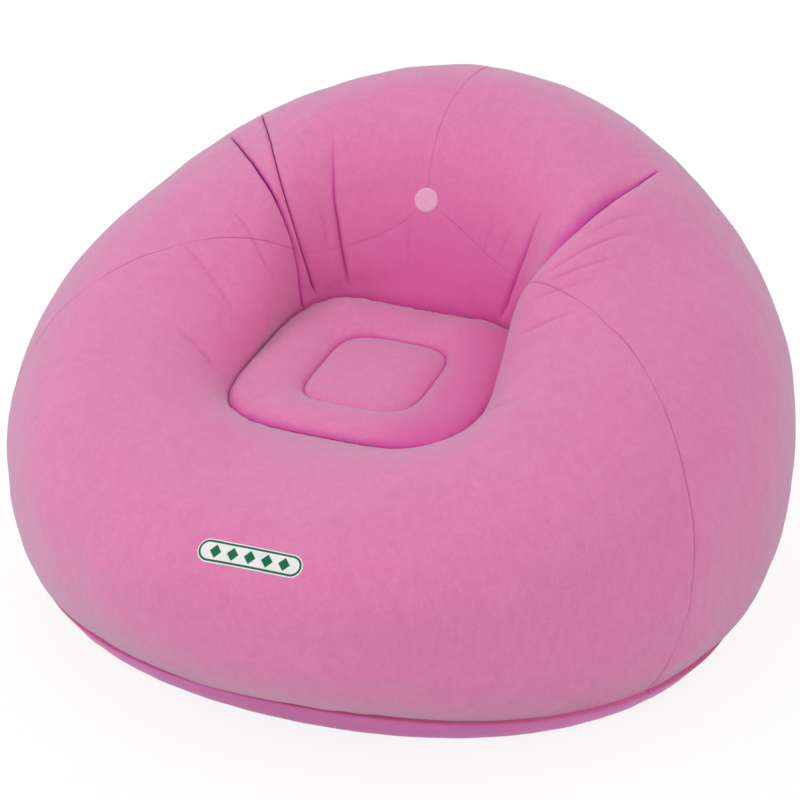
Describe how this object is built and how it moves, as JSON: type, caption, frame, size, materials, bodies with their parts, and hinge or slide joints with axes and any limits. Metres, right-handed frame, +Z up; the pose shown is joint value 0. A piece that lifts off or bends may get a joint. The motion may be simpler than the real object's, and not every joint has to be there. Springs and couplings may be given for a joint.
{
  "type": "inflatable armchair",
  "caption": "Inflatable tub chair with a sunken square seat, rounded arms and back, flocked panels, a flat base and a screw-cap air valve low at the back.",
  "frame": {"origin": "on the floor, at the centre of the chair's outer box", "axes": "+Z up, -Y towards the front that the sitter faces, +X towards the sitter's left hand"},
  "size_m": [1.1206, 1.1099, 0.664],
  "materials": {
    "flock_pink": "flocked velour on vinyl",
    "flock_pale": "flocked velour on vinyl",
    "base_vinyl": "smooth satin vinyl",
    "badge_print": "printed film",
    "inner_vinyl": "smooth translucent vinyl",
    "valve_plastic": "moulded",
    "valve_rubber": "moulded"
  },
  "bodies": {
    "airbag": {"front_panel": "flock_pink", "left_back_panel": "flock_pink", "right_back_panel": "flock_pink", "seat_panel": "flock_pink", "crown_patch": "flock_pale", "base_panel": "base_vinyl", "label_patch": "badge_print", "seat_tether": "inner_vinyl", "left_seam_tape": "inner_vinyl", "right_seam_tape": "inner_vinyl", "back_seam_tape": "inner_vinyl", "valve_flange": "inner_vinyl", "valve_neck": "valve_plastic"},
    "gasket": {"valve_gasket": "valve_rubber"},
    "cap": {"valve_cap": "valve_plastic"},
    "flap": {"check_flap": "valve_rubber"},
    "plug": {"inflation_plug": "valve_plastic"}
  },
  "joints": [
    {"name": "cap_lift", "type": "slide", "parent": "airbag", "child": "gasket", "axis": [-0.3731, 0.9226, -0.0978], "range_m": [0, 0.0081]},
    {"name": "cap_unscrew", "type": "hinge", "parent": "gasket", "child": "cap", "pos_m": [-0.21743, 0.50796, 0.14799], "axis": [-0.3731, 0.9226, -0.0978], "range_deg": [0, 960]},
    {"name": "plug_flip", "type": "hinge", "parent": "cap", "child": "plug", "pos_m": [-0.22295, 0.52162, 0.16695], "axis": [0.9271, 0.3749, 0], "range_deg": [0, 135]},
    {"name": "flap_open", "type": "slide", "parent": "cap", "child": "flap", "axis": [0.3731, -0.9226, 0.0978], "range_m": [0, 0.0025], "stiffness_N_per_m": 20, "springref_m": -0.001}
  ],
  "couplings": [
    {"joint": "cap_lift", "follows": "cap_unscrew", "m_per_rad": 0.00047746}
  ]
}
